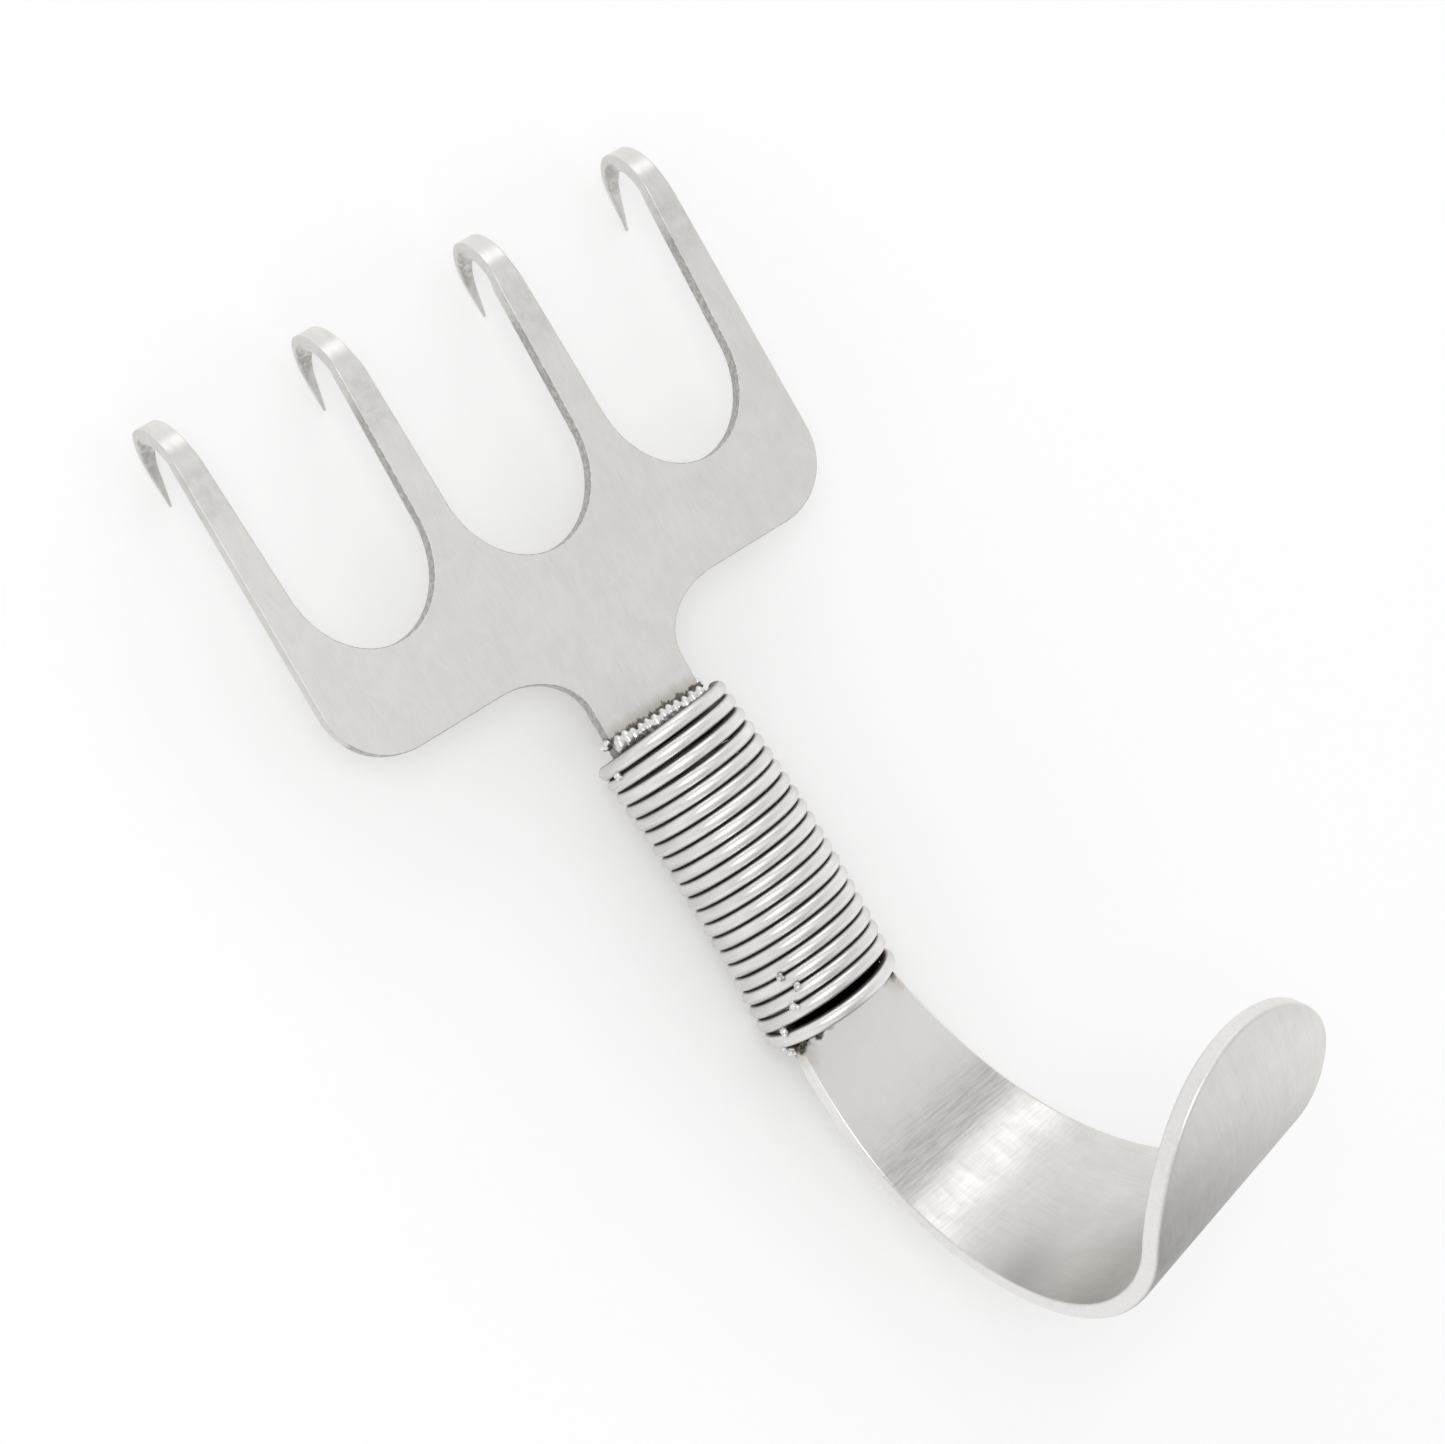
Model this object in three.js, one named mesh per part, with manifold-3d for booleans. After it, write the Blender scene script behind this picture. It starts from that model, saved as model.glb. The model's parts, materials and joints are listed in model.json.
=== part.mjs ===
// Four-prong rake retractor with a coil-spring neck and a curled finger hook, all in stainless steel.
// Millimetres. The part is drawn in the neck's own axes: +X from the prongs to the finger hook, +Z out of
// the rake's upper face. The whole part is then leant back so that it rests on its points and its coil.
import * as THREE from "three";
import { mergeVertices } from "three/addons/utils/BufferGeometryUtils.js";
import Module from "manifold-3d";

const wasm = await Module();
wasm.setup();

// Sheet and wire stock.
const SHEET = 1.6;
const WIRE = 1.27;

// Rake: a flat blank with four prongs.
const RAKE_HALF_WIDTH = 25;
const RAKE_TURN = -2.2; // degrees about Z: the rake sits slightly askew on the neck
const RAKE_SHIFT = -0.37;
const SHOULDER_X = -8.7;
const SHOULDER_RADIUS = 6;
const NECK_HALF_WIDTH = 4.7;
const NECK_FILLET = { x: 5, y: 6.25 };
const NECK_TONGUE = 1; // length of neck that enters the coil
const GAP_SPACING = 15.85;
const GAP_DEPTH = 7.9; // from where the prong sides end to the bottom of the gap
const GAP_ROOT_X = -24.8;
const MIDDLE_GAP_HALF = 6.6;
const OUTER_GAP_HALF = 6.45;
const PRONG_TAPER = 0.5; // what a prong loses in width by its bend
const PRONG_END_X = -37.3;

// Hooked prong ends, from -Y to +Y. Each was bent by hand, so no two are quite alike.
const HOOKS = [
  { straight: 0.15, radius: 4.2, turn: 165, leg: 3.05, lean: -0.3 },
  { straight: 0.3, radius: 4.35, turn: 165, leg: 2.65, lean: -0.35 },
  { straight: 0.7, radius: 4.1, turn: 168, leg: 2.55, lean: 0.1 },
  { straight: 0.9, radius: 4.2, turn: 156, leg: 3.45, lean: 0 },
];
const HOOK_WIDTH = { bend: 2.1, waist: 1.65, point: 0.2 };
const HOOK_THICKNESS = { bend: 1.5, waist: 1.4, point: 0.2 };

// Coil-spring neck: one wire wound right-handed, slightly oval.
const COIL_HALF_WIDTH = 6.65;
const COIL_HALF_HEIGHT = 5.6;
const PITCH = 1.33;
const FIRST_CROSSING_X = 0.8; // where the first turn crosses the axis line
const FRONT_LEAN = { reach: 0.43, turns: 3 }; // the first turns lean back over their weld
const REAR_LEAN = { reach: 0.5, start: 19.25 }; // the last turn leans away
const REAR_OPENING = { extra: 0.17, start: 19.25 }; // and is pulled off to its weld
const COIL_SWAY = { ends: -0.37, middle: 0.27 }; // the coil bows a little to +Y
const COIL_LENGTH = 28;
const COIL_TURNS = 20.6;
const RUN_ENDS = [0, 6.9, 13.9, COIL_TURNS];
const RUN_GAP = 0.01; // turns between one run and the next

// Finger hook: a strip that widens, bends up and curls back over the coil.
const STRIP_START = { x: 28.7, y: 0.03, z: 1.04 }; // middle of the upper face at the coil
const STRIP_ANGLES = { roll: -6.6, pitch: -0.6, yaw: 1.9 };
const STRIP_LENGTH = 73.2;
const STRIP_CURVATURES = [0.003, 0.0593, 0.0481, 0.0367, 0.022, 0.0317, 0.036]; // 1/mm, from the coil outwards
const STRIP_SKEW = 6.3; // degrees between the bend lines and a square cut across the strip
const STRIP_HALF_WIDTHS = [5.7, 8.9, 9.85, 11.65]; // Bezier heights from the coil to the far end
const STRIP_DRIFT = { linear: 2.5, square: 1.6 }; // sideways shift of the middle by the far end
const STRIP_END_ROUND = 11.8;
const STRIP_TONGUE = { length: 2.6, halfWidth: 3.6, overlap: 0.5, relief: 0.05 }; // the end inside the last turn

// Weld metal.
const WELD_GAP = 0.05; // clearance left between weld metal and the piece under it
const NECK_BEAD = { x: -0.3, halfWidth: 4.5, radius: 0.62, height: 0.8, ripples: 11 };
const TACK_RADIUS = 0.3;
const TACKS = [
  { after: 0, angle: 162 },
  { after: 16, angle: 133 },
  { after: 17, angle: 125 },
  { after: 18, angle: 136 },
  { after: 19, angle: 156 },
]; // the whole turns before each droplet's groove, and its place round the coil in degrees

const REST_TILT = 3.4; // degrees that lower the coil's end onto the surface

const steel = { color: 0xd2d1ce, roughness: 0.36, metalness: 1 };
const wireSteel = { color: 0xdcdbd6, roughness: 0.22, metalness: 1 };
const weldSteel = { color: 0xb9b6b2, roughness: 0.3, metalness: 1 };

const radians = THREE.MathUtils.degToRad;
const lerp = THREE.MathUtils.lerp;
const smoothstep = THREE.MathUtils.smoothstep;

const part = new THREE.Group();

function addPiece(parent, name, geometry, look) {
  const mesh = new THREE.Mesh(geometry, new THREE.MeshStandardMaterial(look));
  mesh.name = name;
  parent.add(mesh);
  return mesh;
}

// A geometry as a manifold-3d solid, and back.
function toSolid(geometry) {
  const bare = geometry.clone();
  bare.deleteAttribute("normal");
  bare.deleteAttribute("uv");
  const merged = mergeVertices(bare, 1e-4);
  return new wasm.Manifold(
    new wasm.Mesh({
      numProp: 3,
      vertProperties: merged.attributes.position.array,
      triVerts: new Uint32Array(merged.index.array),
    }),
  );
}

function toGeometry(solid) {
  const mesh = solid.getMesh();
  const geometry = new THREE.BufferGeometry();
  geometry.setAttribute("position", new THREE.BufferAttribute(mesh.vertProperties, 3));
  geometry.setIndex(new THREE.BufferAttribute(mesh.triVerts, 1));
  return geometry;
}

// A unit box cut into a grid, with each corner (0..1 along, -0.5..0.5 across and through) moved by place().
function movedBox(along, across, through, place) {
  const geometry = new THREE.BoxGeometry(1, 1, 1, along, across, through);
  const corners = geometry.attributes.position;
  for (let i = 0; i < corners.count; i++) {
    const point = place(corners.getX(i) + 0.5, corners.getY(i), corners.getZ(i));
    corners.setXYZ(i, point.x, point.y, point.z);
  }
  return geometry;
}

// Where a path of straight runs and arcs has got to after a distance: arcs are {length, radius}, a straight
// run has radius Infinity. The path starts along +u and turns towards +h.
function walkArcs(arcs, distance) {
  let u = 0;
  let h = 0;
  let heading = 0;
  let left = distance;
  arcs.forEach((arc, index) => {
    const step = index === arcs.length - 1 ? left : Math.min(left, arc.length);
    const turn = step / arc.radius;
    const chord = Math.abs(turn) < 1e-9 ? step : 2 * arc.radius * Math.sin(turn / 2);
    u += chord * Math.cos(heading + turn / 2);
    h += chord * Math.sin(heading + turn / 2);
    heading += turn;
    left -= step;
  });
  return { u, h, heading };
}

// Rake ---------------------------------------------------------------------------------------------------

function gapOutline(outline, centre, half) {
  // Down one prong side, round the bottom of the gap and back up the next prong.
  const flare = PRONG_TAPER / 2;
  const outerLow = centre < -1 ? PRONG_TAPER : flare;
  const outerHigh = centre > 1 ? PRONG_TAPER : flare;
  outline.lineTo(PRONG_END_X, centre - half - outerLow);
  outline.lineTo(GAP_ROOT_X, centre - half);
  outline.absellipse(GAP_ROOT_X, centre, GAP_DEPTH, half, -Math.PI / 2, Math.PI / 2, false);
  outline.lineTo(PRONG_END_X, centre + half + outerHigh);
}

function rakeBlank() {
  const outline = new THREE.Shape();
  const cornerX = SHOULDER_X - SHOULDER_RADIUS;
  const cornerY = RAKE_HALF_WIDTH - SHOULDER_RADIUS;
  const filletX = SHOULDER_X + NECK_FILLET.x;
  const filletY = NECK_HALF_WIDTH + NECK_FILLET.y;
  const { x: fx, y: fy } = NECK_FILLET;
  const r = SHOULDER_RADIUS;
  outline.moveTo(NECK_TONGUE, -NECK_HALF_WIDTH);
  outline.lineTo(filletX, -NECK_HALF_WIDTH);
  outline.absellipse(filletX, -filletY, fx, fy, Math.PI / 2, Math.PI, false);
  outline.absellipse(cornerX, -cornerY, r, r, 0, -Math.PI / 2, true);
  outline.lineTo(PRONG_END_X, -RAKE_HALF_WIDTH);
  gapOutline(outline, -GAP_SPACING, OUTER_GAP_HALF);
  gapOutline(outline, 0, MIDDLE_GAP_HALF);
  gapOutline(outline, GAP_SPACING, OUTER_GAP_HALF);
  outline.lineTo(PRONG_END_X, RAKE_HALF_WIDTH);
  outline.absellipse(cornerX, cornerY, r, r, Math.PI / 2, 0, true);
  outline.absellipse(filletX, filletY, fx, fy, Math.PI, 1.5 * Math.PI, false);
  outline.lineTo(NECK_TONGUE, NECK_HALF_WIDTH);
  const blank = new THREE.ExtrudeGeometry(outline, { depth: SHEET, bevelEnabled: false, curveSegments: 9 });
  return blank.translate(0, 0, -SHEET / 2);
}

function prongCentres() {
  const outer = RAKE_HALF_WIDTH - HOOK_WIDTH.bend / 2;
  const innerLow = MIDDLE_GAP_HALF + PRONG_TAPER / 2;
  const innerHigh = GAP_SPACING - OUTER_GAP_HALF - PRONG_TAPER / 2;
  const inner = (innerLow + innerHigh) / 2;
  return [-outer, -inner, inner, outer];
}

// A prong's end: bent down and back under the prong, narrowing to a point.
function hookedEnd(centre, { straight, radius, turn, leg, lean }) {
  const bend = radius * radians(turn);
  const length = straight + bend + leg;
  const arcs = [
    { length: straight, radius: Infinity },
    { length: bend, radius },
    { length: leg, radius: Infinity },
  ];
  const waist = 0.5;
  const size = (at, { bend: first, waist: middle, point }) =>
    at < waist ? lerp(first, middle, at / waist) : lerp(middle, point, (at - waist) / (1 - waist));
  return movedBox(18, 1, 1, (at, across, through) => {
    const { u, h, heading } = walkArcs(arcs, at * length);
    const lift = through * size(at, HOOK_THICKNESS);
    return {
      x: PRONG_END_X + 0.02 - u - lift * Math.sin(heading),
      y: centre + lean * Math.min(1, at / waist) - across * size(at, HOOK_WIDTH),
      z: (SHEET - HOOK_THICKNESS.bend) / 2 - h + lift * Math.cos(heading),
    };
  });
}

const rake = new THREE.Group();
rake.rotation.z = radians(RAKE_TURN);
rake.position.y = RAKE_SHIFT;
part.add(rake);

let rakeSolid = toSolid(rakeBlank());
prongCentres().forEach((centre, prong) => {
  rakeSolid = rakeSolid.add(toSolid(hookedEnd(centre, HOOKS[prong])));
});
addPiece(rake, "rake_plate", toGeometry(rakeSolid), steel);

// Coil-spring neck ------------------------------------------------------------------------------------------

// The wire's centre after so many turns, counted from the +Y side over the top.
function wireAt(turns) {
  const radius = WIRE / 2;
  const angle = 2 * Math.PI * turns;
  const straight = FIRST_CROSSING_X + (turns - 0.25) * PITCH;
  const forward = FRONT_LEAN.reach * (1 - smoothstep(turns, 0.25, 0.25 + FRONT_LEAN.turns));
  const back = REAR_LEAN.reach * smoothstep(turns, REAR_LEAN.start, REAR_LEAN.start + 1);
  const pulled = REAR_OPENING.extra * smoothstep(turns, REAR_OPENING.start, REAR_OPENING.start + 1);
  const sway = lerp(COIL_SWAY.ends, COIL_SWAY.middle, Math.sin((Math.PI * straight) / COIL_LENGTH));
  return new THREE.Vector3(
    straight + pulled + (back - forward) * Math.sin(angle),
    (COIL_HALF_WIDTH - radius) * Math.cos(angle) + sway,
    (COIL_HALF_HEIGHT - radius) * Math.sin(angle),
  );
}

class WireRun extends THREE.Curve {
  constructor(start, end) {
    super();
    this.start = start;
    this.end = end;
  }

  getPoint(at, target = new THREE.Vector3()) {
    return target.copy(wireAt(lerp(this.start, this.end, at)));
  }
}

function wireRun(start, end) {
  const section = new THREE.Shape().absarc(0, 0, WIRE / 2, 0, 2 * Math.PI);
  const steps = Math.round((end - start) * 16);
  const extrudePath = new WireRun(start, end);
  return new THREE.ExtrudeGeometry(section, { steps, extrudePath, curveSegments: 4 });
}

["coil_front_turns", "coil_middle_turns", "coil_rear_turns"].forEach((name, run) => {
  const start = RUN_ENDS[run] + (run > 0 ? RUN_GAP : 0);
  addPiece(part, name, wireRun(start, RUN_ENDS[run + 1]), wireSteel);
});

// Finger hook -----------------------------------------------------------------------------------------------

// The strip's side view, walked in short steps: the curvature runs evenly from one station to the next.
const WALK_STEP = 0.25;
const sideView = [{ u: 0, h: 0, heading: 0 }];
while (sideView.length * WALK_STEP < STRIP_LENGTH + 4) {
  const { u, h, heading } = sideView.at(-1);
  const spans = STRIP_CURVATURES.length - 1;
  const at = Math.min(spans - 1e-6, (((sideView.length - 0.5) * WALK_STEP) / STRIP_LENGTH) * spans);
  const from = Math.floor(at);
  const turn = WALK_STEP * lerp(STRIP_CURVATURES[from], STRIP_CURVATURES[from + 1], at - from);
  sideView.push({
    u: u + WALK_STEP * Math.cos(heading + turn / 2),
    h: h + WALK_STEP * Math.sin(heading + turn / 2),
    heading: heading + turn,
  });
}

function walkStrip(distance) {
  if (distance < 0) return { u: distance, h: 0, heading: 0 };
  const at = distance / WALK_STEP;
  const from = Math.min(Math.floor(at), sideView.length - 2);
  const [before, after] = [sideView[from], sideView[from + 1]];
  const part = (key) => lerp(before[key], after[key], at - from);
  return { u: part("u"), h: part("h"), heading: part("heading") };
}

function stripHalfWidth(distance) {
  const [a, b, c, d] = STRIP_HALF_WIDTHS;
  const at = distance / STRIP_LENGTH;
  const left = 1 - at;
  const plain = a * left ** 3 + 3 * b * at * left ** 2 + 3 * c * at ** 2 * left + d * at ** 3;
  const round = Math.max(0, (distance - STRIP_LENGTH + STRIP_END_ROUND) / STRIP_END_ROUND);
  return Math.max(0.2, plain * Math.sqrt(Math.max(0, 1 - round * round)));
}

// Most cuts are evenly spaced, and the last few crowd towards the round end.
function stripDistance(at) {
  const evenShare = 0.75;
  const even = STRIP_LENGTH - STRIP_END_ROUND;
  if (at <= evenShare) return (even * at) / evenShare;
  return even + STRIP_END_ROUND * Math.sin((Math.PI / 2) * ((at - evenShare) / (1 - evenShare)));
}

function stripPoint(distance, sideways, height) {
  const skew = radians(STRIP_SKEW);
  const rolled = distance * Math.cos(skew) + sideways * Math.sin(skew);
  const along = -distance * Math.sin(skew) + sideways * Math.cos(skew);
  const { u, h, heading } = walkStrip(rolled);
  const reach = u - height * Math.sin(heading);
  return {
    x: reach * Math.cos(skew) - along * Math.sin(skew),
    y: reach * Math.sin(skew) + along * Math.cos(skew),
    z: h + height * Math.cos(heading),
  };
}

const strip = movedBox(50, 6, 1, (at, across, through) => {
  const distance = stripDistance(at);
  const share = distance / STRIP_LENGTH;
  const drift = STRIP_DRIFT.linear * share + STRIP_DRIFT.square * share * share;
  return stripPoint(distance, drift + 2 * across * stripHalfWidth(distance), (through - 0.5) * SHEET);
});
const tongue = movedBox(1, 1, 1, (at, across, through) => {
  const distance = lerp(-STRIP_TONGUE.length, STRIP_TONGUE.overlap, at);
  const depth = lerp(SHEET - STRIP_TONGUE.relief, STRIP_TONGUE.relief, through + 0.5);
  return stripPoint(distance, 2 * across * STRIP_TONGUE.halfWidth, -depth);
});
const stripSolid = toSolid(strip).add(toSolid(tongue));
const fingerHook = addPiece(part, "finger_hook", toGeometry(stripSolid), steel);
fingerHook.position.set(STRIP_START.x, STRIP_START.y, STRIP_START.z);
fingerHook.rotation.set(radians(STRIP_ANGLES.roll), radians(STRIP_ANGLES.pitch), radians(STRIP_ANGLES.yaw));

// Weld metal ------------------------------------------------------------------------------------------------

// A rippled bead across the neck, half sunk so that only its crown stands on the sheet.
function neckBead(side) {
  const profile = [new THREE.Vector2(0, -NECK_BEAD.halfWidth)];
  const cuts = NECK_BEAD.ripples * 2;
  for (let i = 1; i < cuts; i++) {
    const ripple = i % 2 ? 1 : 0.86;
    const y = lerp(-NECK_BEAD.halfWidth, NECK_BEAD.halfWidth, i / cuts);
    profile.push(new THREE.Vector2(NECK_BEAD.radius * ripple, y));
  }
  profile.push(new THREE.Vector2(0, NECK_BEAD.halfWidth));
  const bead = new THREE.LatheGeometry(profile, 10).scale(1, 1, NECK_BEAD.height / NECK_BEAD.radius);
  const sunk = new THREE.BoxGeometry(4, 4 * NECK_BEAD.halfWidth, 4).translate(0, 0, -2 * side);
  return toGeometry(toSolid(bead).subtract(toSolid(sunk)));
}

for (const [name, side] of [["neck_weld_upper", 1], ["neck_weld_lower", -1]]) {
  const bead = addPiece(rake, name, neckBead(side), weldSteel);
  bead.position.set(NECK_BEAD.x, 0, side * (SHEET / 2 + WELD_GAP));
}

function blob(rx, ry, rz) {
  return new THREE.SphereGeometry(1, 12, 8).scale(rx, ry, rz);
}

// Fillets between the neck's edges and the first turn, and between the last turn and the finger hook.
const BLOBS = [
  { name: "neck_weld_near", at: [-1.15, -5.05, -0.1], size: [0.62, 0.4, 0.75], parent: rake },
  { name: "neck_weld_far", at: [-1.3, 5.1, 0], size: [0.5, 0.32, 0.7], parent: rake },
  { name: "hook_weld_near", at: [28.98, -6.4, 0.3], size: [0.42, 0.38, 0.75], parent: part },
  { name: "hook_weld_far", at: [28.5, 6.2, 0.2], size: [0.33, 0.38, 0.6], parent: part },
];
for (const { name, at, size, parent } of BLOBS) {
  addPiece(parent, name, blob(...size), weldSteel).position.set(...at);
}

// Tack welds sit in the groove between two neighbouring turns, just proud of the coil.
TACKS.forEach(({ after, angle }, index) => {
  const around = radians(angle);
  const tack = addPiece(part, `tack_weld_${index + 1}`, blob(TACK_RADIUS, TACK_RADIUS, TACK_RADIUS), weldSteel);
  const ahead = wireAt(after + angle / 360);
  const behind = wireAt(after + 1 + angle / 360);
  const proud = TACK_RADIUS + 0.12;
  tack.position.set(
    (ahead.x + behind.x) / 2,
    (COIL_HALF_WIDTH + proud - 0.3) * Math.cos(around),
    (COIL_HALF_HEIGHT + proud - 0.3) * Math.sin(around),
  );
});

// Rest the part on its points and the coil, with the middle of its footprint at the origin.
part.rotation.y = radians(REST_TILT);
const stand = new THREE.Group();
stand.add(part);
stand.updateMatrixWorld(true);
const bounds = new THREE.Box3().setFromObject(stand, true);
const middle = bounds.getCenter(new THREE.Vector3());
part.position.set(-middle.x, -middle.y, -bounds.min.z);

export default stand;
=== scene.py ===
"""Looks for the four-prong rake retractor: sheet-metal rake, coil-spring neck, weld metal and finger hook.

Lengths are millimetres in the neck's own axes, +X along the coil to the finger hook and +Z out of the rake's
upper face, until to_row() turns them into the frame's metres.
"""

import json
import math
import random

import bpy
import bmesh
import numpy as np
from mathutils import Matrix, Vector, noise


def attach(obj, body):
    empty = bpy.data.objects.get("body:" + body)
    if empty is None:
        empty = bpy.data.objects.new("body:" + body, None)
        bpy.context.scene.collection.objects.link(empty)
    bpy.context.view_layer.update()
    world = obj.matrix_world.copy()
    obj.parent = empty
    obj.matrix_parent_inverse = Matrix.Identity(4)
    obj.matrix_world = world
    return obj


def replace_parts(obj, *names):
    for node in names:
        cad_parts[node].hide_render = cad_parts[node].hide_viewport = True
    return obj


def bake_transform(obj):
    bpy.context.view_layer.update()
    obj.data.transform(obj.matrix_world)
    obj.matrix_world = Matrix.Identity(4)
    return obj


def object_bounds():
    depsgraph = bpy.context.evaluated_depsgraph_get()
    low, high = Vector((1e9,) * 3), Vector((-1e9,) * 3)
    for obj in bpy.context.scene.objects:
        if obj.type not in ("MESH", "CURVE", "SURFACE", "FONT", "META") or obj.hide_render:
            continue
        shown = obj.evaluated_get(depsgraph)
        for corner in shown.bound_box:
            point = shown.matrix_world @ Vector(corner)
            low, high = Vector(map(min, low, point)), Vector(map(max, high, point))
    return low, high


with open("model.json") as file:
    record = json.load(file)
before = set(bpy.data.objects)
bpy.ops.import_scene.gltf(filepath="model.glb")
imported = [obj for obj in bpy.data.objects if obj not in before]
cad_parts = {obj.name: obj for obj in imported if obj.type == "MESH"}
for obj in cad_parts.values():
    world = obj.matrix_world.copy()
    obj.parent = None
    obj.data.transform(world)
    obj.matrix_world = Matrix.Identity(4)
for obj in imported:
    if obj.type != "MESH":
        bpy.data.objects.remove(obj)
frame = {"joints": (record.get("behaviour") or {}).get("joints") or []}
cad_box = [list(corner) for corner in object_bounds()]

scene = bpy.context.scene
MM = 0.001

# Sheet and wire stock.
SHEET = 1.6
WIRE = 1.27

# Rake.
RAKE_HALF_WIDTH = 25.0
RAKE_TURN = -2.2
RAKE_SHIFT = -0.37
SHOULDER_X = -8.7
SHOULDER_RADIUS = 6.0
NECK_HALF_WIDTH = 4.7
NECK_FILLET = (5.0, 6.25)
NECK_TONGUE = 0.95
GAP_SPACING = 15.85
GAP_DEPTH = 7.9
GAP_ROOT_X = -24.8
MIDDLE_GAP_HALF = 6.6
OUTER_GAP_HALF = 6.45
PRONG_TAPER = 0.5
PRONG_END_X = -37.3
SHEARED_ROUND = 0.12
GROUND_ROUND = 0.3

# Hooked prong ends: straight, radius, turn, leg, lean.
HOOKS = [
    (0.15, 4.2, 165, 3.05, -0.3),
    (0.3, 4.35, 165, 2.65, -0.35),
    (0.7, 4.1, 168, 2.55, 0.1),
    (0.9, 4.2, 156, 3.45, 0.0),
]
HOOK_WIDTH = (2.1, 1.65, 0.22)
HOOK_THICKNESS = (1.5, 1.4, 0.22)
HOOK_WAIST = 0.5
HOOK_RINGS = 56

# Coil.
COIL_HALF_WIDTH = 6.65
COIL_HALF_HEIGHT = 5.6
PITCH = 1.33
FIRST_CROSSING_X = 0.8
FRONT_LEAN = (0.43, 3.0)
REAR_LEAN = (0.5, 19.25)
REAR_OPENING = 0.17
COIL_SWAY = (-0.37, 0.27)
COIL_LENGTH = 28.0
RUN_ENDS = (0.0, 6.9, 13.9, 20.6)
FLANK_SHADE = 0.2  # how much painted shade darkens the coil's two sides
WIRE_SIDES = 14
WIRE_STEPS = 44

# Finger hook.
STRIP_START = (28.7, 0.03, 1.04)
STRIP_ANGLES = (-6.6, -0.6, 1.9)
STRIP_LENGTH = 73.2
STRIP_CURVATURES = (0.003, 0.0593, 0.0481, 0.0367, 0.022, 0.0317, 0.036)
STRIP_SKEW = 6.3
STRIP_HALF_WIDTHS = (5.7, 8.9, 9.85, 11.65)
STRIP_DRIFT = (2.5, 1.6)
STRIP_END_ROUND = 11.8
STRIP_ACROSS = 14
STRIP_TONGUE = [(0.4, 5.1), (-1.2, 5.1), (-2.6, 3.6)]  # distance and half width, into the last turn

BEND_AT = 5.6  # where the first neck joint stands on the coil's axis


# Frames ---------------------------------------------------------------------------------------------------

joints = {joint["name"]: joint for joint in frame["joints"]}
axis_x = Vector(joints["neck_stretch"]["axis"]).normalized()
axis_y = Vector(joints["neck_bend"]["axis"]).normalized()
axis_z = axis_x.cross(axis_y).normalized()
origin = Vector(joints["neck_bend"]["pos_m"]) - axis_x * (BEND_AT * MM)
AXES = np.array([axis_x, axis_y, axis_z])


def to_row(points):
    return np.asarray(points, float) @ AXES * MM + np.array(origin)


def turned_about_z(vectors, degrees):
    c, s = math.cos(math.radians(degrees)), math.sin(math.radians(degrees))
    return np.asarray(vectors, float) @ np.array([[c, s, 0], [-s, c, 0], [0, 0, 1]])


def rake_points(points):
    return turned_about_z(points, RAKE_TURN) + np.array([0, RAKE_SHIFT, 0])


def euler(roll, pitch, yaw):
    a, b, c = (math.radians(v) for v in (roll, pitch, yaw))
    about_x = np.array([[1, 0, 0], [0, math.cos(a), -math.sin(a)], [0, math.sin(a), math.cos(a)]])
    about_y = np.array([[math.cos(b), 0, math.sin(b)], [0, 1, 0], [-math.sin(b), 0, math.cos(b)]])
    about_z = np.array([[math.cos(c), -math.sin(c), 0], [math.sin(c), math.cos(c), 0], [0, 0, 1]])
    return about_x @ about_y @ about_z


def smoothstep(value, low, high):
    t = min(1.0, max(0.0, (value - low) / (high - low)))
    return t * t * (3 - 2 * t)


def lerp(a, b, t):
    return a + (b - a) * t


class Shape:
    """Points with their normals and surface coordinates, and the faces between them, in neck millimetres."""

    def __init__(self):
        self.points = []
        self.normals = []
        self.coords = []
        self.cut = []
        self.faces = []

    def add(self, point, normal, coord=None, cut=0.0):
        self.points.append(tuple(point))
        self.normals.append(tuple(normal))
        self.coords.append(tuple(point if coord is None else coord))
        self.cut.append(cut)
        return len(self.points) - 1

    def strip(self, first, second, closed=False):
        """Quads between two equal rows of point indices."""
        count = len(first)
        for i in range(count if closed else count - 1):
            j = (i + 1) % count
            self.faces.append((first[i], first[j], second[j], second[i]))

    def build(self, name, material):
        points = to_row(self.points)
        mesh = bpy.data.meshes.new(name)
        mesh.from_pydata([tuple(p) for p in points], [], self.faces)
        mesh.update()
        mesh.polygons.foreach_set("use_smooth", [True] * len(mesh.polygons))
        at = mesh.attributes.new("at", "FLOAT_VECTOR", "POINT")
        at.data.foreach_set("vector", np.asarray(self.coords, np.float32).ravel())
        cut = mesh.attributes.new("cut", "FLOAT", "POINT")
        cut.data.foreach_set("value", np.asarray(self.cut, np.float32))
        normals = np.asarray(self.normals, float) @ AXES
        normals /= np.maximum(np.linalg.norm(normals, axis=1, keepdims=True), 1e-9)
        mesh.normals_split_custom_set_from_vertices([tuple(n) for n in normals])
        mesh.materials.append(material)
        piece = bpy.data.objects.new(name, mesh)
        scene.collection.objects.link(piece)
        return piece


# Materials ------------------------------------------------------------------------------------------------


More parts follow.
